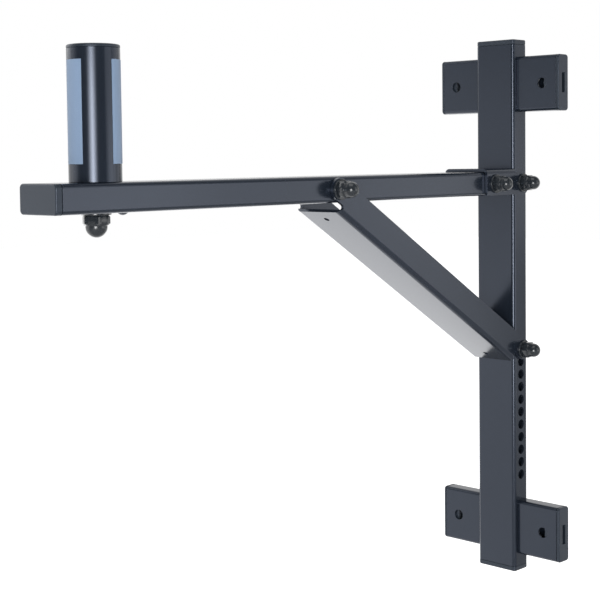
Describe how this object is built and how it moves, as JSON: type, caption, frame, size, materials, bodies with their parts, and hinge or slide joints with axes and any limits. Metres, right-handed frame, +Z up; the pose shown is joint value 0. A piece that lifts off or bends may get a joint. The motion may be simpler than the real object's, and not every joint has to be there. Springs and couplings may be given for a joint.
{
  "type": "speaker wall bracket",
  "caption": "Wall bracket whose braced arm carries a loudspeaker on an upright pole; a lock bolt through a row of holes sets the tilt.",
  "frame": {"origin": "middle of the wall screw pattern, on the wall plane, behind the rail", "axes": "+X to the right along the wall, +Y into the wall, +Z up; the arm reaches out along -Y"},
  "size_m": [0.126, 0.505, 0.47],
  "materials": {
    "powder_coated_steel": "semi-gloss powder coat",
    "black_plastic": "satin moulded plastic",
    "black_fastener": "glossy black",
    "plain_steel": "turned",
    "blue_pad": "matt"
  },
  "bodies": {
    "bracket": {"wall_rail": "powder_coated_steel", "foot_upper_left": "powder_coated_steel", "foot_upper_right": "powder_coated_steel", "foot_lower_left": "powder_coated_steel", "foot_lower_right": "powder_coated_steel", "arm_bracket": "powder_coated_steel", "arm_tube": "powder_coated_steel", "brace": "powder_coated_steel", "pole_tube": "powder_coated_steel", "rail_cap_top": "black_plastic", "rail_cap_bottom": "black_plastic", "foot_cap_upper_left": "black_plastic", "foot_cap_upper_right": "black_plastic", "foot_cap_lower_left": "black_plastic", "foot_cap_lower_right": "black_plastic", "arm_end_cap": "black_plastic", "pole_cap": "black_plastic", "arm_button": "black_plastic", "rail_bolt": "black_fastener", "rail_bolt_washer_left": "black_fastener", "rail_bolt_washer_right": "black_fastener", "rail_bolt_nut": "black_fastener", "arm_bolt": "black_fastener", "arm_bolt_washer_left": "black_fastener", "arm_bolt_washer_right": "black_fastener", "arm_bolt_nut": "black_fastener", "brace_bolt": "black_fastener", "brace_bolt_washer_left": "black_fastener", "brace_bolt_washer_right": "black_fastener", "brace_bolt_nut": "black_fastener", "pole_bolt": "black_fastener", "pole_washer": "black_fastener", "pole_nut": "black_fastener", "pole_plug": "plain_steel", "pole_pad_front": "blue_pad", "pole_pad_right": "blue_pad", "pole_pad_left": "blue_pad"},
    "lock_bolt": {"lock_bolt": "black_fastener", "lock_bolt_washer_left": "black_fastener"},
    "lock_nut": {"lock_bolt_nut": "black_fastener", "lock_bolt_washer_right": "black_fastener"}
  },
  "joints": [
    {"name": "lock_nut_off", "type": "slide", "parent": "bracket", "child": "lock_nut", "axis": [1, 0, 0], "range_m": [0, 0.014]},
    {"name": "lock_bolt_draw", "type": "slide", "parent": "bracket", "child": "lock_bolt", "axis": [-1, 0, 0], "range_m": [0, 0.06]}
  ]
}
